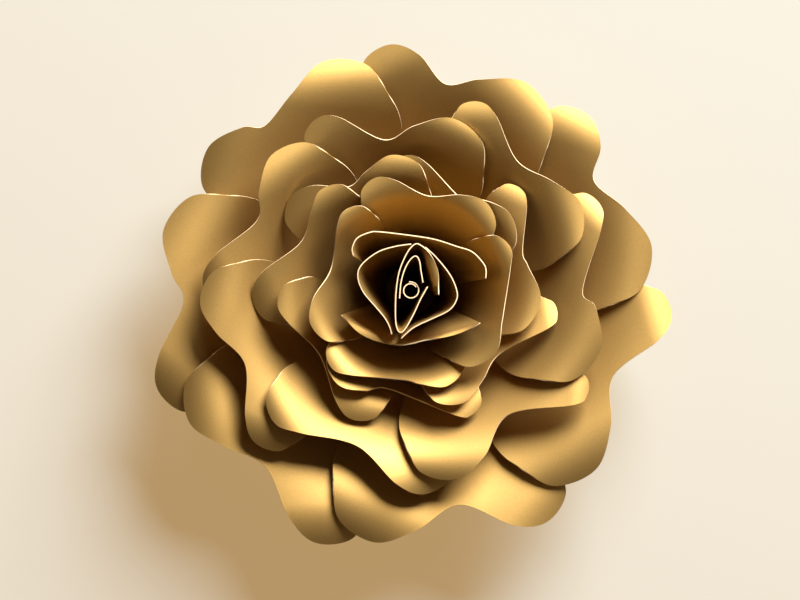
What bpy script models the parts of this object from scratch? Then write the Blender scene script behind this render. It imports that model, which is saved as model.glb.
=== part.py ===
"""Giant flower rolled and curled from heavy card, lying on its back.

Seven wide petals, seven middle ones and seven inner ones stand in three rings like
a pinwheel: every petal of a ring lies over its clockwise neighbour. Four heart
petals, two cups, two bud petals, two wraps and a rolled core fill the middle.
All stand on a card disc, whose flat back is the resting face.
"""

import math

import bmesh
import bpy
from mathutils import Vector

MM = 0.001

# The card and the clearance kept between any two pieces
CARD = 0.5 * MM
GAP = 0.3 * MM

# The base disc, whose underside is the resting face
DISC_RADIUS = 38.0 * MM
DISC_THICKNESS = 1.0 * MM
DISC_SIDES = 48

# Every petal's root edge stands this high, measured to the middle of the card
SEAT = DISC_THICKNESS + GAP + CARD / 2

# Where the four points of a lobe's arc lie, in degrees from the lobe's direction
LOBE_ARC = (100.0, 50.0, 0.0, -50.0)

# Grid columns in each stretch of a petal's rim, and the rows from root to rim
COLUMNS = (1, 2, 2, 2, 2, 2, 2, 1)
ROWS = (0.0, 0.12, 0.4, 0.68, 0.87, 1.0)

# A lobe's curl runs about a line turned outward by this angle
LOBE_TURN = 26.0

# Each ring: root and foot radius, half widths at root and waist in degrees, waist radius,
# rise per metre outward, softness of the foot, radius and softness of the crest,
# swirl (how much the clockwise side is lifted), curl of the lobes in degrees
RINGS = {
    "outer": dict(root=23.0, foot=25.0, root_half=20.0, waist_half=27.0, waist=60.0,
                  rise=0.66, crest=106.0, soft=16.0, swirl=0.09, curl=35.0),
    "second": dict(root=20.0, foot=21.5, root_half=20.0, waist_half=27.0, waist=46.0,
                   rise=1.15, crest=80.0, soft=14.0, swirl=0.14, curl=35.0),
    "third": dict(root=17.5, foot=18.5, root_half=19.0, waist_half=22.0, waist=34.0,
                  rise=2.0, crest=53.0, soft=10.0, swirl=0.3, curl=28.0),
    "heart": dict(root=15.5, foot=16.5, root_half=34.0, waist_half=36.0, waist=30.0,
                  rise=2.9, crest=42.0, soft=8.0, swirl=0.0, curl=25.0),
    "cup_top": dict(root=13.5, foot=14.5, root_half=70.0, waist_half=72.0, waist=20.0,
                    rise=6.2, crest=27.0, soft=5.0, swirl=0.0, curl=12.0),
    "cup_bottom": dict(root=13.5, foot=14.5, root_half=70.0, waist_half=72.0, waist=20.0,
                       rise=6.2, crest=27.0, soft=5.0, swirl=0.0, curl=45.0),
}

# Softness of the bend at the foot of every petal, in millimetres
FOOT_SOFT = 1.6

# Each petal: node name, ring, azimuth of the root, extra lift outward, then azimuth,
# reach and roundness of the left lobe, azimuth and reach of the dip between the
# lobes, and azimuth, reach and roundness of the right lobe. Degrees and millimetres
PETALS = (
    ("outer_petal_1", "outer", 80.0, 0.0, (94.5, 119.0, 17.0), (80.5, 101.0), (61.0, 114.5, 26.0)),
    ("outer_petal_2", "outer", 28.6, 0.0, (44.0, 120.5, 18.0), (31.0, 103.0), (10.5, 118.0, 26.0)),
    ("outer_petal_3", "outer", -22.9, 0.0, (-6.0, 126.5, 15.0), (-23.0, 106.0), (-44.0, 124.0, 26.0)),
    ("outer_petal_4", "outer", -74.3, 0.0, (-59.5, 129.5, 19.0), (-77.0, 106.0), (-98.0, 122.5, 25.0)),
    ("outer_petal_5", "outer", -125.7, 0.0, (-111.0, 130.0, 21.0), (-129.5, 110.0), (-149.0, 124.0, 23.0)),
    ("outer_petal_6", "outer", -177.1, 0.0, (-159.0, 131.0, 19.0), (-177.0, 109.5), (-193.5, 122.5, 25.0)),
    ("outer_petal_7", "outer", 131.5, 0.0, (144.5, 119.5, 22.0), (131.5, 106.0), (111.0, 118.0, 25.0)),
    ("second_petal_1", "second", 101.0, 0.0, (118.5, 94.0, 12.0), (100.0, 73.5), (76.5, 85.0, 22.0)),
    ("second_petal_2", "second", 49.6, 0.0, (69.0, 96.5, 11.5), (50.5, 80.5), (27.5, 91.5, 20.0)),
    ("second_petal_3", "second", -1.9, 0.0, (23.5, 100.0, 12.0), (0.0, 82.5), (-17.0, 95.5, 24.0)),
    ("second_petal_4", "second", -53.3, 0.0, (-31.0, 98.5, 9.0), (-52.0, 76.0), (-76.5, 93.0, 20.5)),
    ("second_petal_5", "second", -104.7, 0.0, (-86.5, 98.0, 16.5), (-109.0, 79.0), (-135.5, 91.0, 15.5)),
    ("second_petal_6", "second", -156.1, 0.0, (-136.0, 104.5, 15.0), (-156.0, 87.0), (-176.5, 101.0, 19.0)),
    ("second_petal_7", "second", 152.4, 0.0, (177.0, 100.0, 16.0), (155.5, 81.0), (136.0, 93.0, 21.0)),
    ("third_petal_1", "third", 62.0, 0.0, (91.0, 65.0, 11.5), (59.0, 50.0), (38.0, 60.0, 17.0)),
    ("third_petal_2", "third", 10.6, 0.0, (42.0, 72.0, 9.0), (19.5, 57.0), (-3.5, 62.5, 20.0)),
    ("third_petal_3", "third", -40.9, 0.0, (-10.0, 71.5, 8.0), (-35.5, 52.5), (-64.0, 59.5, 16.0)),
    ("third_petal_4", "third", -92.3, 0.0, (-64.0, 66.5, 9.0), (-102.5, 48.5), (-127.0, 57.0, 15.0)),
    ("third_petal_5", "third", -143.7, 0.0, (-115.0, 68.0, 13.0), (-145.0, 53.5), (-173.5, 64.0, 12.0)),
    ("third_petal_6", "third", -195.1, 0.0, (-178.0, 76.0, 14.5), (-203.5, 57.5), (-227.5, 64.5, 12.5)),
    ("third_petal_7", "third", 113.4, 0.0, (142.0, 73.0, 14.0), (121.0, 58.0), (98.5, 65.5, 16.5)),
    ("heart_petal_top", "heart", 76.0, 0.0, (107.0, 56.5, 11.0), (80.0, 46.0), (50.0, 55.5, 14.5)),
    ("heart_petal_right", "heart", -8.0, 0.24, (22.5, 52.0, 11.0), (-8.5, 45.5), (-36.0, 50.5, 17.0)),
    ("heart_petal_bottom", "heart", -101.0, 0.0, (-69.5, 49.0, 15.0), (-95.0, 43.0), (-135.0, 53.0, 10.5)),
    ("heart_petal_left", "heart", -194.0, 0.28, (-162.0, 50.5, 14.0), (-195.0, 39.5), (-230.5, 49.5, 10.0)),
    ("cup_petal_top", "cup_top", 80.0, 0.0, (133.0, 33.0, 8.0), (92.0, 26.5), (22.0, 37.0, 8.0)),
    ("cup_petal_bottom", "cup_bottom", -93.0, 0.0, (-29.0, 36.5, 6.0), (-92.0, 25.5), (-155.0, 36.0, 6.0)),
)

# The bud's two wraps and its two petals, seen from above, in millimetres at their upper edge
OUTER_WRAP = ((8.0, 1.7), (4.6, -4.4), (1.3, -11.5), (-2.6, -18.3), (-5.2, -20.0), (-7.0, -16.0),
              (-7.2, -6.0), (-6.5, 3.4), (-4.8, 11.0), (-1.4, 17.4), (2.6, 20.2), (5.6, 18.4),
              (8.2, 12.6), (9.9, 7.5), (11.4, 2.2), (13.3, -2.2))
INNER_WRAP = ((-5.3, -4.0), (-4.7, 3.2), (-3.0, 9.6), (-0.4, 14.4), (2.4, 16.4), (4.2, 14.0),
              (4.9, 9.4), (5.9, 3.6))
BUD_LEFT = ((0.2, 22.1), (-7.6, 20.9), (-15.8, 18.2), (-23.3, 12.3), (-25.2, 6.6), (-22.6, -0.7),
            (-16.7, -7.8), (-12.2, -13.3), (-9.9, -17.7), (-9.0, -21.1))
BUD_RIGHT = ((7.0, 20.6), (12.4, 15.5), (18.7, 7.5), (21.9, 0.2), (21.8, -4.6), (18.2, -9.5),
             (9.5, -13.8), (4.6, -16.0), (0.7, -18.2), (-2.7, -21.1), (-4.6, -23.0))
WRAP_HEIGHT = 84.0 * MM
INNER_WRAP_HEIGHT = 82.0 * MM
BUD_HEIGHT = 82.0 * MM
WRAP_STEPS = 2
WRAP_ROWS = 3

# How much the wraps narrow toward their foot: left of the middle, right of it, and lengthwise
FOOT_LEFT = 0.9
FOOT_RIGHT = 0.62
FOOT_LONG = 0.48

# Radius of the circle on the disc that the bud's petals stand on
BUD_FOOT = 12.0 * MM

# The rolled core: radius at its upper and lower end, growth per turn, turns and height
CORE_TOP = 3.0 * MM
CORE_FOOT = 1.5 * MM
CORE_PITCH = 0.9 * MM
CORE_TURNS = 1.2
CORE_START = 30.0
CORE_HEIGHT = 79.0 * MM
CORE_COLUMNS = 22


def polar(azimuth, radius):
    """Return the point at an azimuth in degrees and a radius."""
    turn = math.radians(azimuth)
    return Vector((radius * math.cos(turn), radius * math.sin(turn)))


def curve_point(before, start, end, after, t):
    """Return the point at t on the smooth curve from start to end."""
    linear = (end - before) * t
    square = (before * 2 - start * 5 + end * 4 - after) * t ** 2
    cube = (start * 3 - before - end * 3 + after) * t ** 3
    return (start * 2 + linear + square + cube) / 2


def smooth_line(points, counts):
    """Return points along the smooth curve, with a count of steps for each stretch."""
    guides = [points[0] * 2 - points[1]] + points + [points[-1] * 2 - points[-2]]
    line = []
    for index, count in enumerate(counts):
        for step in range(count):
            line.append(curve_point(*guides[index:index + 4], step / count))
    line.append(points[-1])
    return line


def lobe_arc(lobe):
    """Return the points of one lobe's arc, from its counter-clockwise side on."""
    azimuth, reach, roundness = lobe
    middle = polar(azimuth, reach - roundness)
    return [middle + polar(azimuth + angle, roundness) for angle in LOBE_ARC]


def mirrored_arc(lobe):
    """Return the arc of a right lobe, whose steep side is its clockwise one."""
    azimuth, reach, roundness = lobe
    middle = polar(azimuth, reach - roundness)
    return [middle + polar(azimuth - angle, roundness) for angle in reversed(LOBE_ARC)]


def petal_rim(left, dip, right):
    """Return the guide points of the rim, from the left lobe's side to the right one's."""
    return lobe_arc(left) + [polar(*dip)] + mirrored_arc(right)


def side_line(ring, azimuth_sign, axis, shoulder):
    """Return a petal's side as points at each row, from its root corner to its shoulder."""
    corner = polar(axis + azimuth_sign * ring["root_half"], ring["root"])
    waist = polar(axis + azimuth_sign * ring["waist_half"], ring["waist"])
    line = []
    for fraction in ROWS:
        line.append(corner * (1.0 - fraction) ** 2 + waist * 2.0 * fraction * (1.0 - fraction)
                    + shoulder * fraction ** 2)
    return line


def petal_plan(ring, axis, left, dip, right):
    """Return the petal seen from above, as rows of points between its four edges."""
    rim = smooth_line(petal_rim(left, dip, right), COLUMNS)
    left_side = side_line(ring, 1.0, axis, rim[0])
    right_side = side_line(ring, -1.0, axis, rim[-1])
    last = len(rim) - 1
    rows = []
    for up, left_point, right_point in zip(ROWS, left_side, right_side):
        row = []
        for index, rim_point in enumerate(rim):
            over = index / last
            root_point = polar(axis + ring["root_half"] * (1.0 - 2.0 * over), ring["root"])
            point = root_point * (1.0 - up) + rim_point * up
            point += (left_point - left_side[0] * (1.0 - up) - rim[0] * up) * (1.0 - over)
            point += (right_point - right_side[0] * (1.0 - up) - rim[-1] * up) * over
            row.append(point)
        rows.append(row)
    return rows


def soft_ramp(x, softness):
    """Return a ramp that is nought below zero and x above it, rounded at the bend."""
    return (math.hypot(x, softness) + x) / 2


def curl_drop(point, lobe, turn, angle):
    """Return how far a lobe's curl carries the card down at a point."""
    azimuth, reach, roundness = lobe
    direction = polar(azimuth + turn, 1.0)
    run = point.dot(direction) - polar(azimuth, reach - roundness).dot(direction)
    bend = math.radians(angle)
    radius = roundness / math.sin(bend)
    run = min(max(run, 0.0), roundness)
    return radius - math.sqrt(radius ** 2 - run ** 2)


def petal_height(point, ring, axis, lift, left, right):
    """Return the height in millimetres of the petal's middle surface over a plan point."""
    radius = point.length
    outward = soft_ramp(radius - ring["foot"], FOOT_SOFT)
    outward -= soft_ramp(ring["root"] - ring["foot"], FOOT_SOFT)
    outward -= soft_ramp(radius - ring["crest"], ring["soft"])
    outward += soft_ramp(ring["root"] - ring["crest"], ring["soft"])
    azimuth = math.degrees(math.atan2(point.y, point.x))
    across = (axis - azimuth + 180.0) % 360.0 - 180.0
    height = outward * (ring["rise"] + lift + ring["swirl"] * across / 45.0)
    height -= curl_drop(point, left, LOBE_TURN, ring["curl"])
    height -= curl_drop(point, right, -LOBE_TURN, ring["curl"])
    return SEAT / MM + height


def flower_material(name, colour, metallic, roughness):
    """Return a Principled material of one colour."""
    material = bpy.data.materials.new(name)
    material.use_nodes = True
    shader = material.node_tree.nodes["Principled BSDF"]
    shader.inputs["Base Color"].default_value = (*colour, 1.0)
    shader.inputs["Metallic"].default_value = metallic
    shader.inputs["Roughness"].default_value = roughness
    return material


def add_object(name, mesh_data, material, collection):
    """Turn a bmesh into an object of the flower's collection."""
    mesh = bpy.data.meshes.new(name)
    mesh_data.to_mesh(mesh)
    mesh_data.free()
    obj = bpy.data.objects.new(name, mesh)
    collection.objects.link(obj)
    mesh.materials.append(material)
    return obj


def add_sheet(name, rows, material, collection):
    """Make a card sheet from rows of points and give it the card's thickness."""
    row_count = len(rows)
    column_count = len(rows[0])
    sheet = bmesh.new()
    bmesh.ops.create_grid(sheet, x_segments=column_count - 1, y_segments=row_count - 1, size=0.5)
    for vertex in sheet.verts:
        column = round((vertex.co.x + 0.5) * (column_count - 1))
        row = round((vertex.co.y + 0.5) * (row_count - 1))
        vertex.co = rows[row][column]
    obj = add_object(name, sheet, material, collection)
    card = obj.modifiers.new("card", "SOLIDIFY")
    card.thickness = CARD
    card.offset = 0.0
    return obj


def add_petal(record, material, collection):
    """Make one petal from its line of the table."""
    name, ring_name, axis, lift, left, dip, right = record
    ring = RINGS[ring_name]
    rows = []
    for plan_row in petal_plan(ring, axis, left, dip, right):
        row = []
        for point in plan_row:
            height = petal_height(point, ring, axis, lift, left, right)
            row.append(Vector((point.x * MM, point.y * MM, height * MM)))
        rows.append(row)
    return add_sheet(name, rows, material, collection)


def wrap_foot(point):
    """Return the plan point of a wrap's foot under a point of its upper edge."""
    side = FOOT_LEFT if point.x < 0.0 else FOOT_RIGHT
    return Vector((point.x * side, point.y * FOOT_LONG))


def bud_foot(point):
    """Return the plan point of a bud petal's foot under a point of its upper edge."""
    return point.normalized() * BUD_FOOT


def add_standing(name, path, height, foot_under, material, collection):
    """Make a standing sheet of the bud from its path at the upper edge."""
    points = [Vector(point) * MM for point in path]
    line = smooth_line(points, [WRAP_STEPS] * (len(points) - 1))
    foot = DISC_THICKNESS + GAP
    rows = []
    for row_index in range(WRAP_ROWS + 1):
        up = row_index / WRAP_ROWS
        row = []
        for point in line:
            plan = foot_under(point).lerp(point, up)
            row.append(Vector((plan.x, plan.y, foot + (height - foot) * up)))
        rows.append(row)
    return add_sheet(name, rows, material, collection)


def add_core(name, material, collection):
    """Make the rolled core, a card strip wound a little over one turn."""
    foot = DISC_THICKNESS + GAP
    rows = []
    for level, radius in ((foot, CORE_FOOT), (CORE_HEIGHT, CORE_TOP)):
        row = []
        for index in range(CORE_COLUMNS + 1):
            turns = CORE_TURNS * index / CORE_COLUMNS
            point = polar(CORE_START + 360.0 * turns, radius + CORE_PITCH * turns)
            row.append(Vector((point.x, point.y, level)))
        rows.append(row)
    return add_sheet(name, rows, material, collection)


def add_disc(name, material, collection):
    """Make the round base disc, whose underside lies on the ground plane."""
    disc = bmesh.new()
    bmesh.ops.create_cone(disc, cap_ends=True, segments=DISC_SIDES, radius1=DISC_RADIUS,
                          radius2=DISC_RADIUS, depth=DISC_THICKNESS)
    bmesh.ops.translate(disc, verts=disc.verts, vec=(0.0, 0.0, DISC_THICKNESS / 2))
    return add_object(name, disc, material, collection)


def main():
    """Clear the scene and build the flower."""
    for obj in list(bpy.data.objects):
        bpy.data.objects.remove(obj)
    collection = bpy.data.collections.new("paper_flower")
    bpy.context.scene.collection.children.link(collection)
    gold = flower_material("gold_card", (0.70, 0.42, 0.12), 0.35, 0.45)
    backing = flower_material("backing_card", (0.70, 0.42, 0.12), 0.35, 0.45)
    add_disc("base_disc", backing, collection)
    for record in PETALS:
        add_petal(record, gold, collection)
    add_standing("bud_petal_left", BUD_LEFT, BUD_HEIGHT, bud_foot, gold, collection)
    add_standing("bud_petal_right", BUD_RIGHT, BUD_HEIGHT, bud_foot, gold, collection)
    add_standing("bud_wrap_outer", OUTER_WRAP, WRAP_HEIGHT, wrap_foot, gold, collection)
    add_standing("bud_wrap_inner", INNER_WRAP, INNER_WRAP_HEIGHT, wrap_foot, gold, collection)
    add_core("core_roll", gold, collection)


main()
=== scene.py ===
"""The look of a giant flower of curled gold card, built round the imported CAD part.

Every CAD piece is replaced by a finely divided sheet of pearlescent card that follows
the same outline and the same heights, with pale cut edges. The camera looks straight
down on the flower, and one broad light stands low to its upper right.
"""

import logging
import math
from dataclasses import dataclass
from enum import Enum
from typing import Dict, List, Sequence, Tuple, Union

import bpy
import numpy as np
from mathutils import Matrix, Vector

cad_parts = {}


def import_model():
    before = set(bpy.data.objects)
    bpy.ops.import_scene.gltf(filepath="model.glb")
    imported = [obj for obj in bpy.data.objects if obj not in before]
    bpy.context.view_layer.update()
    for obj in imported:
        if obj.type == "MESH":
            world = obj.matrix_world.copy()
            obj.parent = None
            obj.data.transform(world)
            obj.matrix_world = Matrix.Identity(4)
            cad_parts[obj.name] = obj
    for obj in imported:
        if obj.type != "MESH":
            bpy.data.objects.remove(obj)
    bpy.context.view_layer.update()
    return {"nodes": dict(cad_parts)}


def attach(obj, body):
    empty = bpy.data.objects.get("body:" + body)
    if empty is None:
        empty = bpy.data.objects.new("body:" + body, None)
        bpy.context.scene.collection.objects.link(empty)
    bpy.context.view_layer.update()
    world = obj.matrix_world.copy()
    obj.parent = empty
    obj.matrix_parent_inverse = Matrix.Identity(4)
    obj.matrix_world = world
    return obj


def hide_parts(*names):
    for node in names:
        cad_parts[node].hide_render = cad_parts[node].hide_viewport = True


LOG = logging.getLogger("card_flower")

MM = 0.001

# A Mix node repeats its socket names, so its colour sockets are known by number
MIX_FIRST = 6
MIX_SECOND = 7
MIX_RESULT = 2

Point = Tuple[float, float]


# Colours and finishes


def linear(hex_colour: str) -> Tuple[float, float, float, float]:
    """Turn an sRGB hex colour into a linear one.

    Args:
        hex_colour: Six hex digits, with or without a leading hash.

    Returns:
        Red, green, blue and an alpha of one.
    """
    digits = hex_colour.lstrip("#")
    channels = [int(digits[i:i + 2], 16) / 255.0 for i in (0, 2, 4)]
    out = [c / 12.92 if c <= 0.04045 else ((c + 0.055) / 1.055) ** 2.4 for c in channels]
    return (out[0], out[1], out[2], 1.0)


class Slot(Enum):
    """Which card a piece is made of."""

    CARD = "gold_card"
    BACKING = "backing_card"


@dataclass(frozen=True)
class CardFinish:
    """How one sort of card looks.

    Attributes:
        name: Name of the material.
        colour: Colour of the coated face, as sRGB hex.
        shade: Colour in the hollows of its grain, as sRGB hex.
        metallic: Share of mica flakes in the coating.
        roughness: How widely the coating spreads a highlight.
        grain_mm: Size of the paper's grain.
        grain_depth_mm: Depth of the paper's grain.
        grain_detail: How many finer grains lie within each one.
        grain_tooth: How strong the finer grains are.
        relief: How much of the grain's depth shows.
    """

    name: str
    colour: str
    shade: str
    metallic: float
    roughness: float
    grain_mm: float
    grain_depth_mm: float
    grain_detail: float = 3.0
    grain_tooth: float = 0.6
    relief: float = 0.5


# Pearlescent craft card: flakes of mica in the coating give a broad, satin gold glow. The
# real grain is finer, and it is drawn this coarse so that it shows
PEARL_CARD = CardFinish("pearlescent_gold_card", colour="#CFB06C", shade="#B5935A",
                        metallic=0.9, roughness=0.6, grain_mm=0.6, grain_depth_mm=0.06)

# Bare pulp where a blade cut the card: matt, and much paler than the coated face
CUT_EDGE = CardFinish("cut_card_edge", colour="#FFE9C8", shade="#F4DAB0",
                      metallic=0.0, roughness=0.8, grain_mm=0.4, grain_depth_mm=0.01)

# The disc at the back is card with little mica, so it stays dull
BACKING_CARD = CardFinish("backing_card", colour="#CFB06C", shade="#B5935A",
                          metallic=0.2, roughness=0.6, grain_mm=0.55, grain_depth_mm=0.02)


class NodeBuilder:
    """Adds and links nodes of one material."""

    def __init__(self, name: str) -> None:
        """Make an empty node material.

        Args:
            name: Name of the material.
        """
        self.material = bpy.data.materials.new(name)
        self.material.use_nodes = True
        self.tree = self.material.node_tree
        self.tree.nodes.clear()

    def add(self, kind: str, inputs: Dict[Union[str, int], object],
            **settings: str) -> bpy.types.Node:
        """Add a node with its settings, values and links.

        Args:
            kind: Blender's name of the node type.
            inputs: What goes in each socket, by the socket's name or number.
            **settings: Properties of the node, such as its operation.

        Returns:
            The new node.
        """
        node = self.tree.nodes.new(kind)
        for name, value in settings.items():
            setattr(node, name, value)
        for key, value in inputs.items():
            socket = node.inputs[key]
            if isinstance(value, bpy.types.NodeSocket):
                self.tree.links.new(value, socket)
            else:
                socket.default_value = value
        return node


def card_material(finish: CardFinish) -> bpy.types.Material:
    """Make the material of one sort of card.

    Args:
        finish: Its finish.

    Returns:
        The material.
    """
    build = NodeBuilder(finish.name)
    place = build.add("ShaderNodeTexCoord", {}).outputs["Object"]
    grain = build.add("ShaderNodeTexNoise", {
        "Vector": place,
        "Scale": 1.0 / (finish.grain_mm * MM),
        "Detail": finish.grain_detail,
        "Roughness": finish.grain_tooth,
    }).outputs["Fac"]
    tone = build.add("ShaderNodeMix", {
        "Factor": grain,
        MIX_FIRST: linear(finish.shade),
        MIX_SECOND: linear(finish.colour),
    }, data_type="RGBA")
    bump = build.add("ShaderNodeBump", {
        "Strength": finish.relief,
        "Distance": finish.grain_depth_mm * MM,
        "Height": grain,
    })
    shader = build.add("ShaderNodeBsdfPrincipled", {
        "Base Color": tone.outputs[MIX_RESULT],
        "Metallic": finish.metallic,
        "Roughness": finish.roughness,
        "Normal": bump.outputs["Normal"],
    })
    build.add("ShaderNodeOutputMaterial", {"Surface": shader.outputs["BSDF"]})
    return build.material


# Forms of the petals


@dataclass(frozen=True)
class Lobe:
    """One of a petal's two rounded lobes, in degrees and millimetres.

    Attributes:
        azimuth: Azimuth of its tip.
        reach: Distance of its tip from the flower's middle.
        roundness: Radius of its outline.
    """

    azimuth: float
    reach: float
    roundness: float


@dataclass(frozen=True)
class RingForm:
    """What the petals of one ring share, in degrees and millimetres.

    Attributes:
        root: Radius at which the petals stand on the disc.
        foot: Radius at which they begin to rise.
        root_half: Half the angle that a root covers.
        waist_half: Half the angle that a petal covers at its waist.
        waist: Radius of the waist.
        rise: Height gained for each millimetre outward.
        crest: Radius past which the petals gain no more height.
        soft: How softly they level out there.
        swirl: Extra rise on the clockwise side, for each 45 degrees from the axis.
        curl: How far the tips of the lobes are bent down.
    """

    root: float
    foot: float
    root_half: float
    waist_half: float
    waist: float
    rise: float
    crest: float
    soft: float
    swirl: float
    curl: float


@dataclass(frozen=True)
class Petal:
    """One petal, in degrees and millimetres.

    Attributes:
        node: The CAD node that it stands for.
        ring: Name of its ring.
        axis: Azimuth of the middle of its root.
        lift: Rise on top of the ring's own.
        left: The lobe on the anticlockwise side.
        dip: Azimuth and radius of the dip between the lobes.
        right: The lobe on the clockwise side.
    """

    node: str
    ring: str
    axis: float
    lift: float
    left: Lobe
    dip: Point
    right: Lobe


RINGS: Dict[str, RingForm] = {
    "outer": RingForm(root=23.0, foot=25.0, root_half=20.0, waist_half=27.0, waist=60.0,
                      rise=0.66, crest=106.0, soft=16.0, swirl=0.09, curl=35.0),
    "second": RingForm(root=20.0, foot=21.5, root_half=20.0, waist_half=27.0, waist=46.0,
                       rise=1.15, crest=80.0, soft=14.0, swirl=0.14, curl=35.0),
    "third": RingForm(root=17.5, foot=18.5, root_half=19.0, waist_half=22.0, waist=34.0,
                      rise=2.0, crest=53.0, soft=10.0, swirl=0.3, curl=28.0),
    "heart": RingForm(root=15.5, foot=16.5, root_half=34.0, waist_half=36.0, waist=30.0,
                      rise=2.9, crest=42.0, soft=8.0, swirl=0.0, curl=25.0),
}

# The petals ring by ring, clockwise within each. Lobes and dips were fitted by a scratch
# program to points read off the photograph by eye, and rounded to half a unit
PETALS: Tuple[Petal, ...] = (
    Petal("outer_petal_1", "outer", 80.0, 0.0, Lobe(94.5, 119.0, 17.0),
          (80.5, 101.0), Lobe(61.0, 114.5, 26.0)),
    Petal("outer_petal_2", "outer", 28.6, 0.0, Lobe(44.0, 120.5, 18.0),
          (31.0, 103.0), Lobe(10.5, 118.0, 26.0)),
    Petal("outer_petal_3", "outer", -22.9, 0.0, Lobe(-6.0, 126.5, 15.0),
          (-23.0, 106.0), Lobe(-44.0, 124.0, 26.0)),
    Petal("outer_petal_4", "outer", -74.3, 0.0, Lobe(-59.5, 129.5, 19.0),
          (-77.0, 106.0), Lobe(-98.0, 122.5, 25.0)),
    Petal("outer_petal_5", "outer", -125.7, 0.0, Lobe(-111.0, 130.0, 21.0),
          (-129.5, 110.0), Lobe(-149.0, 124.0, 23.0)),
    Petal("outer_petal_6", "outer", -177.1, 0.0, Lobe(-159.0, 131.0, 19.0),
          (-177.0, 109.5), Lobe(-193.5, 122.5, 25.0)),
    Petal("outer_petal_7", "outer", 131.5, 0.0, Lobe(144.5, 119.5, 22.0),
          (131.5, 106.0), Lobe(111.0, 118.0, 25.0)),
    Petal("second_petal_1", "second", 101.0, 0.0, Lobe(118.5, 94.0, 12.0),
          (100.0, 73.5), Lobe(76.5, 85.0, 22.0)),
    Petal("second_petal_2", "second", 49.6, 0.0, Lobe(69.0, 96.5, 11.5),
          (50.5, 80.5), Lobe(27.5, 91.5, 20.0)),
    Petal("second_petal_3", "second", -1.9, 0.0, Lobe(23.5, 100.0, 12.0),
          (0.0, 82.5), Lobe(-17.0, 95.5, 24.0)),
    Petal("second_petal_4", "second", -53.3, 0.0, Lobe(-31.0, 98.5, 9.0),
          (-52.0, 76.0), Lobe(-76.5, 93.0, 20.5)),
    Petal("second_petal_5", "second", -104.7, 0.0, Lobe(-86.5, 98.0, 16.5),
          (-109.0, 79.0), Lobe(-135.5, 91.0, 15.5)),
    Petal("second_petal_6", "second", -156.1, 0.0, Lobe(-136.0, 104.5, 15.0),
          (-156.0, 87.0), Lobe(-176.5, 101.0, 19.0)),
    Petal("second_petal_7", "second", 152.4, 0.0, Lobe(177.0, 100.0, 16.0),
          (155.5, 81.0), Lobe(136.0, 93.0, 21.0)),
    Petal("third_petal_1", "third", 62.0, 0.0, Lobe(91.0, 65.0, 11.5),
          (59.0, 50.0), Lobe(38.0, 60.0, 17.0)),
    Petal("third_petal_2", "third", 10.6, 0.0, Lobe(42.0, 72.0, 9.0),
          (19.5, 57.0), Lobe(-3.5, 62.5, 20.0)),
    Petal("third_petal_3", "third", -40.9, 0.0, Lobe(-10.0, 71.5, 8.0),
          (-35.5, 52.5), Lobe(-64.0, 59.5, 16.0)),
    Petal("third_petal_4", "third", -92.3, 0.0, Lobe(-64.0, 66.5, 9.0),
          (-102.5, 48.5), Lobe(-127.0, 57.0, 15.0)),
    Petal("third_petal_5", "third", -143.7, 0.0, Lobe(-115.0, 68.0, 13.0),
          (-145.0, 53.5), Lobe(-173.5, 64.0, 12.0)),
    Petal("third_petal_6", "third", -195.1, 0.04, Lobe(-178.0, 76.0, 14.5),
          (-203.5, 57.5), Lobe(-227.5, 64.5, 12.5)),
    Petal("third_petal_7", "third", 113.4, 0.0, Lobe(142.0, 73.0, 14.0),
          (121.0, 58.0), Lobe(98.5, 65.5, 16.5)),
    Petal("heart_petal_top", "heart", 76.0, 0.0, Lobe(107.0, 56.5, 11.0),
          (80.0, 46.0), Lobe(50.0, 55.5, 14.5)),
    Petal("heart_petal_right", "heart", -8.0, 0.24, Lobe(22.5, 52.0, 11.0),
          (-8.5, 45.5), Lobe(-36.0, 50.5, 17.0)),
    Petal("heart_petal_bottom", "heart", -101.0, 0.0, Lobe(-69.5, 49.0, 15.0),
          (-95.0, 43.0), Lobe(-135.0, 53.0, 10.5)),
    Petal("heart_petal_left", "heart", -194.0, 0.28, Lobe(-162.0, 50.5, 14.0),
          (-195.0, 39.5), Lobe(-230.5, 49.5, 10.0)),
)


@dataclass(frozen=True)
class CardForm:
    """Sizes that all pieces share, in millimetres, and the fineness of their grids.

    Attributes:
        thickness: Thickness of the card.
        disc_radius: Radius of the backing disc.
        disc_thickness: Thickness of the backing disc.
        gap: Clearance between the disc and what stands on it.
        foot_soft: How softly a petal leaves its level foot.
        swell: How far a petal's side runs on past its lobe, as a share of the roundness.
        lobe_turn: Degrees by which a lobe's curl is turned outward from its azimuth.
        columns: Faces across a petal.
        rows: Faces from root to rim of a petal.
        crowding: Power that sets a petal's rows; below one they stand closer at the rim.
    """

    thickness: float = 0.5
    disc_radius: float = 38.0
    disc_thickness: float = 1.0
    gap: float = 0.3
    foot_soft: float = 1.6
    swell: float = 0.9
    lobe_turn: float = 26.0
    columns: int = 96
    rows: int = 44
    crowding: float = 0.85

    @property
    def seat(self) -> float:
        """Height of the middle of the card at every petal's root."""
        return self.disc_thickness + self.gap + self.thickness / 2


CARD = CardForm()

# Where a lobe's round outline has its guide points, in degrees from the lobe's azimuth
LOBE_ARC = (100.0, 50.0, 0.0, -50.0)

# Steps between two guide points of a smooth line
CURVE_STEPS = 24


def polar(azimuth: float, radius: float) -> np.ndarray:
    """Return the plan point at an azimuth in degrees and a radius."""
    turn = math.radians(azimuth)
    return np.array((radius * math.cos(turn), radius * math.sin(turn)))


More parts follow.
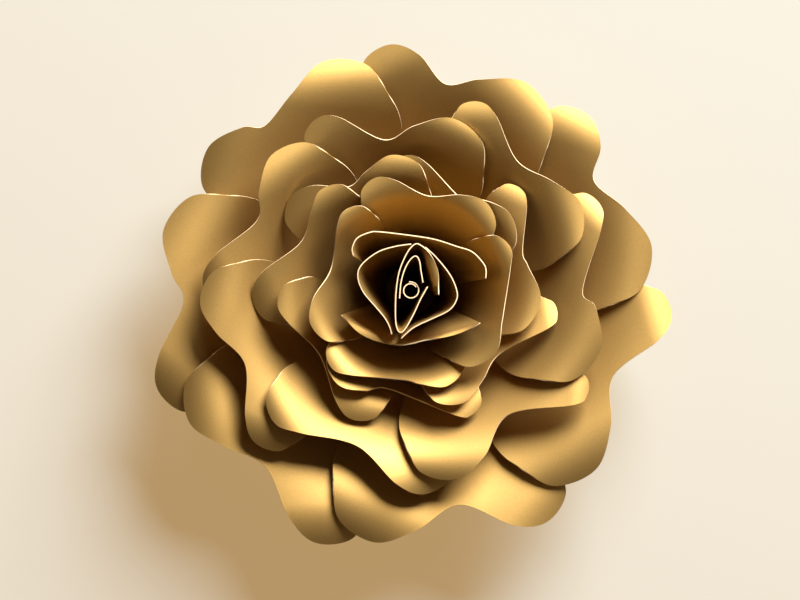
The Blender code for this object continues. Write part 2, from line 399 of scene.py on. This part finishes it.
def smooth_line(points: np.ndarray, count: int) -> np.ndarray:
    """Return evenly spread points along the smooth curve through guide points.

    Between two guide points the curve is the Catmull-Rom cubic of the four nearest ones.

    Args:
        points: Guide points, one a row.
        count: How many points to return.

    Returns:
        The points, in order.
    """
    guides = np.vstack((2 * points[0] - points[1], points, 2 * points[-1] - points[-2]))
    t = np.linspace(0.0, 1.0, CURVE_STEPS, endpoint=False)[:, None, None]
    a, b, c, d = (guides[i:len(guides) - 3 + i][None] for i in range(4))
    dense = 0.5 * (2 * b + (c - a) * t + (2 * a - 5 * b + 4 * c - d) * t ** 2
                   + (3 * b - a - 3 * c + d) * t ** 3)
    dense = np.vstack((dense.transpose(1, 0, 2).reshape(-1, points.shape[1]), points[-1:]))
    run = np.concatenate(([0.0], np.cumsum(np.linalg.norm(np.diff(dense, axis=0), axis=1))))
    wanted = np.linspace(0.0, run[-1], count)
    return np.stack([np.interp(wanted, run, column) for column in dense.T], axis=1)


def soft_ramp(x: np.ndarray, softness: float) -> np.ndarray:
    """Return a ramp that is nought below zero and x above it, rounded at the bend."""
    return (np.hypot(x, softness) + x) / 2


def grid_faces(rows: int, columns: int) -> np.ndarray:
    """Return the quads of a grid of points, as rows of four indices."""
    index = np.arange(rows * columns).reshape(rows, columns)
    corners = (index[:-1, :-1], index[:-1, 1:], index[1:, 1:], index[1:, :-1])
    return np.stack(corners, axis=-1).reshape(-1, 4)


def card_mesh(name: str, grid: np.ndarray, thickness: float) -> bpy.types.Mesh:
    """Make a closed card mesh from a grid of points on the middle of the sheet.

    Front and back are the grid moved half the thickness along its normals, either way.

    Args:
        name: Name of the mesh.
        grid: Points in metres, by row and column.
        thickness: Thickness of the card in metres.

    Returns:
        The mesh, with its faces in slot 0 and its cut edges in slot 1.
    """
    rows, columns = grid.shape[:2]
    across = np.gradient(grid, axis=1)
    up = np.gradient(grid, axis=0)
    normal = np.cross(up, across)
    normal /= np.maximum(np.linalg.norm(normal, axis=-1, keepdims=True), 1e-12)
    normal *= np.where(normal[..., 2:].mean() < 0.0, -1.0, 1.0)
    front = (grid + normal * thickness / 2).reshape(-1, 3)
    back = (grid - normal * thickness / 2).reshape(-1, 3)
    count = len(front)
    faces = grid_faces(rows, columns)
    first = front[faces[len(faces) // 2]]
    wound = np.dot(np.cross(first[1] - first[0], first[2] - first[1]),
                   normal.reshape(-1, 3)[faces[len(faces) // 2][0]]) > 0
    if not wound:
        faces = faces[:, ::-1]
    index = np.arange(count).reshape(rows, columns)
    loop = np.concatenate((index[0, :-1], index[:-1, -1], index[-1, :0:-1], index[:0:-1, 0]))
    if wound:
        loop = loop[::-1]
    after = np.roll(loop, -1)
    rim = np.stack((loop, after, after + count, loop + count), axis=1)
    quads = np.vstack((faces, faces[:, ::-1] + count, rim))
    mesh = bpy.data.meshes.new(name)
    mesh.from_pydata(np.vstack((front, back)).tolist(), [], quads.tolist())
    slots = np.zeros(len(quads), dtype=np.int32)
    slots[2 * len(faces):] = 1
    mesh.polygons.foreach_set("material_index", slots)
    mesh.polygons.foreach_set("use_smooth", np.ones(len(quads), dtype=bool))
    mark_sharp_rim(mesh, loop, count)
    mesh.update()
    return mesh


def mark_sharp_rim(mesh: bpy.types.Mesh, loop: np.ndarray, count: int) -> None:
    """Keep the shading of a card's faces apart from that of its cut edges.

    Args:
        mesh: The card's mesh.
        loop: Indices of the front's border points.
        count: How many points the front has; the back's follow them.
    """
    ends = np.empty(2 * len(mesh.edges), dtype=np.int32)
    mesh.edges.foreach_get("vertices", ends)
    ends = ends.reshape(-1, 2)
    on_rim = np.zeros(2 * count, dtype=bool)
    on_rim[loop] = True
    on_rim[loop + count] = True
    same_side = (ends[:, 0] < count) == (ends[:, 1] < count)
    sharp = on_rim[ends].all(axis=1) & same_side
    attribute = mesh.attributes.new("sharp_edge", "BOOLEAN", "EDGE")
    attribute.data.foreach_set("value", sharp)


class PetalSheet:
    """The middle surface of one petal, as a grid from root to rim."""

    def __init__(self, petal: Petal, card: CardForm) -> None:
        """Take the petal's own values and those it shares.

        Args:
            petal: The petal.
            card: The sizes that all pieces share.
        """
        self.petal = petal
        self.card = card
        self.ring = RINGS[petal.ring]

    def rim(self) -> np.ndarray:
        """Return the rim's points, from the left lobe's side to the right one's."""
        left, right = self.petal.left, self.petal.right
        guides = [polar(left.azimuth, left.reach - left.roundness)
                  + polar(left.azimuth + angle, left.roundness) for angle in LOBE_ARC]
        guides.append(polar(*self.petal.dip))
        guides += [polar(right.azimuth, right.reach - right.roundness)
                   + polar(right.azimuth - angle, right.roundness) for angle in reversed(LOBE_ARC)]
        return smooth_line(np.array(guides), self.card.columns + 1)

    def side(self, sign: float, shoulder: np.ndarray, inner: np.ndarray, lobe: Lobe,
             up: np.ndarray) -> np.ndarray:
        """Return one side of the petal, which leaves the rim without a corner.

        Args:
            sign: One for the left side, minus one for the right one.
            shoulder: The rim's end on that side.
            inner: The rim's next point.
            lobe: The lobe on that side.
            up: Places from the root, zero, to the rim, one.

        Returns:
            A cubic curve from the root corner by the waist to the shoulder.
        """
        ring = self.ring
        along = (shoulder - inner) / np.linalg.norm(shoulder - inner)
        swell = shoulder + along * lobe.roundness * self.card.swell
        corner = polar(self.petal.axis + sign * ring.root_half, ring.root)
        waist = polar(self.petal.axis + sign * ring.waist_half, ring.waist)
        t = up[:, None]
        return (corner * (1 - t) ** 3 + waist * 3 * t * (1 - t) ** 2
                + swell * 3 * t ** 2 * (1 - t) + shoulder * t ** 3)

    def plan(self) -> np.ndarray:
        """Return the petal seen from above, as a grid of plan points in millimetres.

        The grid is the blend of straight lines from root to rim, moved at each side by as
        much as the side leaves its own straight line.
        """
        ring = self.ring
        up = np.linspace(0.0, 1.0, self.card.rows + 1) ** self.card.crowding
        over = np.linspace(0.0, 1.0, self.card.columns + 1)
        rim = self.rim()
        left = self.side(1.0, rim[0], rim[1], self.petal.left, up)
        right = self.side(-1.0, rim[-1], rim[-2], self.petal.right, up)
        turn = np.radians(self.petal.axis + ring.root_half * (1.0 - 2.0 * over))
        root = ring.root * np.stack((np.cos(turn), np.sin(turn)), axis=1)
        v, u = up[:, None, None], over[None, :, None]
        left_bow = left - left[0] * (1 - up[:, None]) - rim[0] * up[:, None]
        right_bow = right - right[0] * (1 - up[:, None]) - rim[-1] * up[:, None]
        grid = root[None] * (1 - v) + rim[None] * v
        return grid + left_bow[:, None] * (1 - u) + right_bow[:, None] * u

    def curl_drop(self, plan: np.ndarray, lobe: Lobe, turn: float) -> np.ndarray:
        """Return how far a lobe's curl carries the card down at each plan point.

        The curl is an arc of a circle that begins at the lobe's middle and has bent by the
        ring's curl at its tip.

        Args:
            plan: Plan points in millimetres.
            lobe: The lobe.
            turn: Degrees from the lobe's azimuth to the way the curl runs.

        Returns:
            The drop in millimetres.
        """
        direction = polar(lobe.azimuth + turn, 1.0)
        run = plan @ direction - polar(lobe.azimuth, lobe.reach - lobe.roundness) @ direction
        bend = math.sin(math.radians(self.ring.curl))
        run = np.clip(run, 0.0, lobe.roundness) / lobe.roundness
        return lobe.roundness * run ** 2 * bend / (1.0 + np.sqrt(1.0 - (run * bend) ** 2))

    def height(self, plan: np.ndarray) -> np.ndarray:
        """Return the height of the middle surface at each plan point, in millimetres.

        The surface rises evenly from foot to crest, more so on the clockwise side, and the
        curl of both lobes is taken off.
        """
        ring, petal = self.ring, self.petal
        radius = np.linalg.norm(plan, axis=-1)
        outward = soft_ramp(radius - ring.foot, self.card.foot_soft)
        outward -= soft_ramp(ring.root - ring.foot, self.card.foot_soft)
        outward -= soft_ramp(radius - ring.crest, ring.soft)
        outward += soft_ramp(ring.root - ring.crest, ring.soft)
        azimuth = np.degrees(np.arctan2(plan[..., 1], plan[..., 0]))
        across = (petal.axis - azimuth + 180.0) % 360.0 - 180.0
        height = outward * (ring.rise + petal.lift + ring.swirl * across / 45.0)
        height -= self.curl_drop(plan, petal.left, self.card.lobe_turn)
        height -= self.curl_drop(plan, petal.right, -self.card.lobe_turn)
        return self.card.seat + height

    def grid(self) -> np.ndarray:
        """Return the middle surface as a grid of points in metres."""
        plan = self.plan()
        return np.concatenate((plan, self.height(plan)[..., None]), axis=-1) * MM


# The bud and the disc


# The upper edges of the standing sheets, seen from above, in millimetres
OUTER_WRAP = ((8.0, 1.7), (4.6, -4.4), (1.3, -11.5), (-2.6, -18.3), (-5.2, -20.0), (-7.0, -16.0),
              (-7.2, -6.0), (-6.5, 3.4), (-4.8, 11.0), (-1.0, 19.0), (3.0, 22.3), (6.0, 19.3),
              (8.2, 12.6), (9.9, 7.5), (11.4, 2.2), (13.3, -2.2))
INNER_WRAP = ((-5.3, -4.0), (-4.7, 3.2), (-3.0, 9.6), (-0.4, 14.4), (2.4, 16.4), (4.2, 14.0),
              (4.9, 9.4), (5.9, 3.6))
BUD_LEFT = ((0.2, 22.1), (-7.6, 20.9), (-15.8, 18.2), (-23.3, 12.3), (-25.2, 6.6), (-22.6, -0.7),
            (-16.7, -7.8), (-12.2, -13.3), (-9.9, -17.7), (-9.0, -21.1))
BUD_RIGHT = ((7.0, 20.6), (12.4, 15.5), (18.7, 7.5), (21.9, 0.2), (21.8, -4.6), (18.2, -9.5),
             (9.5, -13.8), (4.6, -16.0), (0.7, -18.2), (-2.7, -21.1), (-4.6, -23.0))
CUP_TOP = ((-27.2, 16.2), (-27.9, 20.1), (-25.5, 25.0), (-19.6, 27.7), (-14.8, 28.0),
           (-0.2, 26.3), (11.4, 24.4), (22.1, 21.0), (29.3, 18.5), (34.5, 13.3), (36.0, 9.9),
           (35.9, 5.6))
CUP_BOTTOM = ((-33.0, -11.8), (-29.3, -14.0), (-23.5, -17.5), (-14.8, -21.3), (-5.1, -25.0),
              (-1.7, -25.6), (2.2, -25.0), (11.9, -22.2), (21.6, -19.5), (28.9, -17.3),
              (33.2, -15.6))


@dataclass(frozen=True)
class Lip:
    """Where a standing sheet's upper edge is rolled outward.

    Attributes:
        start: Share of the path's length where the lip begins.
        end: Share of the path's length where it ends.
        width: How far the lip stands out, in millimetres.
        depth: How far below the upper edge the roll begins, in millimetres.
        azimuth: The direction that it is rolled in, in degrees.
        sink: How far its edge sinks, as a share of the width.
    """

    start: float
    end: float
    width: float
    depth: float
    azimuth: float
    sink: float = 0.6


WRAP_LIPS = (Lip(0.74, 1.0, 3.6, 5.0, 18.0),)
CUP_LIPS = (Lip(0.0, 0.5, 3.6, 5.0, -125.0), Lip(0.6, 1.0, 1.6, 3.0, -65.0))


@dataclass(frozen=True)
class Bud:
    """The sheets that stand in the middle and the rolled core, in millimetres.

    Attributes:
        outer_height: Height of the outer wrap.
        inner_height: Height of the inner wrap.
        petal_height: Height of the bud's two petals.
        petal_foot: Radius of their feet.
        cup_height: Height of the two cups.
        cup_foot: Radius of their feet.
        foot_left: Width of a wrap's foot left of the middle, as a share of its upper edge.
        foot_right: The same right of the middle.
        foot_long: Length of a wrap's foot, as a share of its upper edge.
        core_top: Radius of the core's innermost turn at its top.
        core_foot: The same at its foot.
        core_pitch: How far one turn of the core lies outside the last.
        core_turns: How many turns the core has.
        core_start: Azimuth in degrees at which its card begins.
        core_height: Height of the core.
        sheet_columns: Points along a standing sheet.
        sheet_rows: Points from foot to edge of a standing sheet.
        crowding: Power that sets a sheet's rows; above one they stand closer at the edge.
        core_columns: Points round the core.
        core_rows: Points from foot to top of the core.
    """

    outer_height: float = 84.0
    inner_height: float = 82.0
    petal_height: float = 82.0
    petal_foot: float = 12.0
    cup_height: float = 74.5
    cup_foot: float = 13.5
    foot_left: float = 1.2
    foot_right: float = 0.62
    foot_long: float = 0.45
    core_top: float = 3.0
    core_foot: float = 1.5
    core_pitch: float = 0.9
    core_turns: float = 1.2
    core_start: float = 30.0
    core_height: float = 79.0
    sheet_columns: int = 120
    sheet_rows: int = 36
    crowding: float = 1.8
    core_columns: int = 90
    core_rows: int = 12

    def edge(self, path: Sequence[Point]) -> np.ndarray:
        """Return the points of a sheet's upper edge along its guide points."""
        return smooth_line(np.array(path), self.sheet_columns)

    def wrap_foot(self, path: Sequence[Point]) -> np.ndarray:
        """Return the foot of a wrap, whose upper edge is narrowed left, right and lengthwise."""
        line = self.edge(path)
        side = np.where(line[..., 0] < 0.0, self.foot_left, self.foot_right)
        return np.stack((line[..., 0] * side, line[..., 1] * self.foot_long), axis=-1)

    def round_foot(self, path: Sequence[Point], radius: float) -> np.ndarray:
        """Return the foot of a sheet whose upper edge is drawn in to a circle."""
        line = self.edge(path)
        return line * radius / np.linalg.norm(line, axis=-1, keepdims=True)

    def sheet(self, path: Sequence[Point], foot: np.ndarray, height: float, card: CardForm,
              lips: Sequence[Lip] = ()) -> np.ndarray:
        """Return the middle surface of a standing sheet as a grid of points in metres.

        Args:
            path: Guide points of the upper edge, in millimetres.
            foot: Plan points of the foot, one for each point of the upper edge.
            height: Height of the upper edge, in millimetres.
            card: The sizes that all pieces share.
            lips: Stretches of the upper edge that are rolled outward.

        Returns:
            Straight lines from foot to upper edge; a lip leaves them by a square law.
        """
        over = np.linspace(0.0, 1.0, self.sheet_columns)
        down = 1.0 - np.linspace(0.0, 1.0, self.sheet_rows)[:, None, None]
        up = 1.0 - down ** self.crowding
        plan = foot[None] + (self.edge(path)[None] - foot[None]) * up
        low = card.disc_thickness + card.gap
        z = low + (height - low) * np.broadcast_to(up[..., 0], plan.shape[:2])
        for lip in lips:
            along = np.clip((over - lip.start) / (lip.end - lip.start), 0.0, 1.0)
            roll = np.clip((z - height + lip.depth) / lip.depth, 0.0, 1.0) ** 2
            roll = roll * np.sin(np.pi * along)[None]
            plan = plan + (roll * lip.width)[..., None] * polar(lip.azimuth, 1.0)
            z = z - roll * lip.width * lip.sink
        return np.concatenate((plan, z[..., None]), axis=-1) * MM

    def core(self, card: CardForm) -> np.ndarray:
        """Return the middle surface of the rolled core as a grid of points in metres.

        Args:
            card: The sizes that all pieces share.

        Returns:
            A spiral whose radius grows evenly with its angle and with its height.
        """
        turns = np.linspace(0.0, self.core_turns, self.core_columns)[None]
        up = np.linspace(0.0, 1.0, self.core_rows)[:, None]
        radius = self.core_foot + (self.core_top - self.core_foot) * up + self.core_pitch * turns
        turn = np.radians(self.core_start + 360.0 * turns)
        foot = card.disc_thickness + card.gap
        z = np.broadcast_to(foot + (self.core_height - foot) * up, radius.shape)
        return np.stack((radius * np.cos(turn), radius * np.sin(turn), z), axis=-1) * MM

    def grids(self, card: CardForm) -> Dict[str, np.ndarray]:
        """Return the middle surfaces of the core and all standing sheets, by CAD node."""
        return {
            "core_roll": self.core(card),
            "cup_petal_top": self.sheet(CUP_TOP, self.round_foot(CUP_TOP, self.cup_foot),
                                        self.cup_height, card),
            "cup_petal_bottom": self.sheet(CUP_BOTTOM, self.round_foot(CUP_BOTTOM, self.cup_foot),
                                           self.cup_height, card, CUP_LIPS),
            "bud_petal_left": self.sheet(BUD_LEFT, self.round_foot(BUD_LEFT, self.petal_foot),
                                         self.petal_height, card),
            "bud_petal_right": self.sheet(BUD_RIGHT, self.round_foot(BUD_RIGHT, self.petal_foot),
                                          self.petal_height, card),
            "bud_wrap_outer": self.sheet(OUTER_WRAP, self.wrap_foot(OUTER_WRAP),
                                         self.outer_height, card, WRAP_LIPS),
            "bud_wrap_inner": self.sheet(INNER_WRAP, self.wrap_foot(INNER_WRAP),
                                         self.inner_height, card),
        }


BUD = Bud()

DISC_SIDES = 128


def disc_mesh(name: str, card: CardForm, sides: int = DISC_SIDES) -> bpy.types.Mesh:
    """Make the round backing disc, a prism with its base on the floor.

    Args:
        name: Name of the mesh.
        card: The sizes that all pieces share.
        sides: How many sides the prism has.

    Returns:
        The mesh, with its flat faces in slot 0 and its cut edge in slot 1.
    """
    turn = np.linspace(0.0, 2 * np.pi, sides, endpoint=False)
    ring = card.disc_radius * np.stack((np.cos(turn), np.sin(turn)), axis=1)
    low = np.column_stack((ring, np.zeros(sides)))
    high = np.column_stack((ring, np.full(sides, card.disc_thickness)))
    here = np.arange(sides)
    after = np.roll(here, -1)
    walls = np.stack((here, after, after + sides, here + sides), axis=1).tolist()
    faces = walls + [here[::-1].tolist(), (here + sides).tolist()]
    mesh = bpy.data.meshes.new(name)
    mesh.from_pydata((np.vstack((low, high)) * MM).tolist(), [], faces)
    slots = np.zeros(len(faces), dtype=np.int32)
    slots[:sides] = 1
    mesh.polygons.foreach_set("material_index", slots)
    mesh.update()
    return mesh


# The flower


class CardFlower:
    """Builds the flower's visible pieces over the CAD ones."""

    def __init__(self, card: CardForm, bud: Bud) -> None:
        """Make the materials.

        Args:
            card: The sizes that all pieces share.
            bud: The standing sheets and the core.
        """
        self.card = card
        self.bud = bud
        self.gold = card_material(PEARL_CARD)
        self.edge = card_material(CUT_EDGE)
        self.backing = card_material(BACKING_CARD)

    def place(self, node: str, mesh: bpy.types.Mesh, slot: Slot) -> bpy.types.Object:
        """Show a mesh in place of a CAD node.

        Args:
            node: The CAD node.
            mesh: The mesh that stands for it.
            slot: Which card it is made of.

        Returns:
            The new object.
        """
        mesh.materials.append(self.gold if slot is Slot.CARD else self.backing)
        mesh.materials.append(self.edge)
        piece = bpy.data.objects.new(f"{node}_card", mesh)
        bpy.context.scene.collection.objects.link(piece)
        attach(piece, "root")
        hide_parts(node)
        LOG.info("%s: %d faces", node, len(mesh.polygons))
        return piece

    def build(self) -> List[bpy.types.Object]:
        """Build every piece.

        Returns:
            The petals from the outer ring inward, then the bud's pieces and the disc.
        """
        grids = {petal.node: PetalSheet(petal, self.card).grid() for petal in PETALS}
        grids.update(self.bud.grids(self.card))
        pieces = []
        for node, grid in grids.items():
            mesh = card_mesh(node, grid, self.card.thickness * MM)
            pieces.append(self.place(node, mesh, Slot.CARD))
        disc = disc_mesh("base_disc", self.card)
        pieces.append(self.place("base_disc", disc, Slot.BACKING))
        return pieces


# Studio


@dataclass(frozen=True)
class Studio:
    """Floor, light and camera.

    Attributes:
        floor: Colour of the paper floor, as sRGB hex.
        floor_glow: Colour that the floor adds where it is seen, so its shadows stay pale.
        floor_roughness: How matt the floor is.
        floor_size: Side of the floor in metres.
        key_azimuth: Azimuth of the key light in degrees.
        key_elevation: Its elevation in degrees.
        key_distance: Its distance in metres.
        key_size: Width of its round panel in metres.
        key_power: Its power in watts.
        key_colour: Its colour, as sRGB hex.
        fill_colour: Colour of the room's light, as sRGB hex.
        fill_strength: Strength of the room's light.
        camera_height: Height of the camera in metres.
        frame_width: Width in metres that the picture covers.
        frame_height: Height at which that width is measured, in metres.
        sensor: Width of the camera's sensor in millimetres.
        sight: How far the camera sees, in metres.
        centre: Where the picture's middle lies, in millimetres.
    """

    floor: str = "#8B9DAB"
    floor_glow: str = "#B19061"
    floor_roughness: float = 0.9
    floor_size: float = 6.0
    key_azimuth: float = 62.0
    key_elevation: float = 33.0
    key_distance: float = 3.2
    key_size: float = 2.2
    key_power: float = 336.0
    key_colour: str = "#FFF6E8"
    fill_colour: str = "#FFD9AE"
    fill_strength: float = 0.09
    camera_height: float = 3.0
    frame_width: float = 0.388
    frame_height: float = 0.03
    sensor: float = 36.0
    sight: float = 20.0
    centre: Point = (-5.1, -4.6)

    def add_floor(self) -> None:
        """Lay a plain pale floor under the flower."""
        half = self.floor_size / 2
        mesh = bpy.data.meshes.new("paper_floor")
        corners = [(-half, -half, 0.0), (half, -half, 0.0), (half, half, 0.0), (-half, half, 0.0)]
        mesh.from_pydata(corners, [], [(0, 1, 2, 3)])
        build = NodeBuilder("matt_cream_paper")
        light_path = build.add("ShaderNodeLightPath", {})
        seen = build.add("ShaderNodeMath", {
            0: light_path.outputs["Is Camera Ray"],
            1: light_path.outputs["Is Glossy Ray"],
        }, operation="MAXIMUM")
        shader = build.add("ShaderNodeBsdfPrincipled", {
            "Base Color": linear(self.floor),
            "Roughness": self.floor_roughness,
            "Emission Color": linear(self.floor_glow),
            "Emission Strength": seen.outputs["Value"],
        })
        build.add("ShaderNodeOutputMaterial", {"Surface": shader.outputs["BSDF"]})
        mesh.materials.append(build.material)
        floor = bpy.data.objects.new("paper_floor", mesh)
        bpy.context.scene.collection.objects.link(floor)

    def add_light(self) -> None:
        """Add the key light and the room's light."""
        elevation = math.radians(self.key_elevation)
        flat = polar(self.key_azimuth, self.key_distance * math.cos(elevation))
        place = Vector((flat[0], flat[1], self.key_distance * math.sin(elevation)))
        data = bpy.data.lights.new("key_panel", "AREA")
        data.shape = "DISK"
        data.size = self.key_size
        data.energy = self.key_power
        data.color = linear(self.key_colour)[:3]
        light = bpy.data.objects.new("key_panel", data)
        light.location = place
        light.rotation_euler = (-place).to_track_quat("-Z", "Y").to_euler()
        bpy.context.scene.collection.objects.link(light)
        world = bpy.data.worlds.new("room")
        world.use_nodes = True
        room = world.node_tree.nodes["Background"]
        room.inputs["Color"].default_value = linear(self.fill_colour)
        room.inputs["Strength"].default_value = self.fill_strength
        bpy.context.scene.world = world

    def add_camera(self) -> None:
        """Set the camera straight above the flower, with a long lens."""
        data = bpy.data.cameras.new("camera")
        data.sensor_width = self.sensor
        data.lens = self.sensor * (self.camera_height - self.frame_height) / self.frame_width
        data.clip_end = self.sight
        camera = bpy.data.objects.new("camera", data)
        camera.location = (self.centre[0] * MM, self.centre[1] * MM, self.camera_height)
        bpy.context.scene.collection.objects.link(camera)
        bpy.context.scene.camera = camera

    def build(self) -> None:
        """Build floor, lights and camera."""
        self.add_floor()
        self.add_light()
        self.add_camera()
        bpy.context.scene.view_settings.view_transform = "Standard"


def main() -> None:
    """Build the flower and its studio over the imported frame."""
    logging.basicConfig(level=logging.INFO)
    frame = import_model()
    LOG.info("the frame has %d nodes", len(frame["nodes"]))
    pieces = CardFlower(CARD, BUD).build()
    LOG.info("built %d pieces", len(pieces))
    Studio().build()


if __name__ == "__main__":
    main()
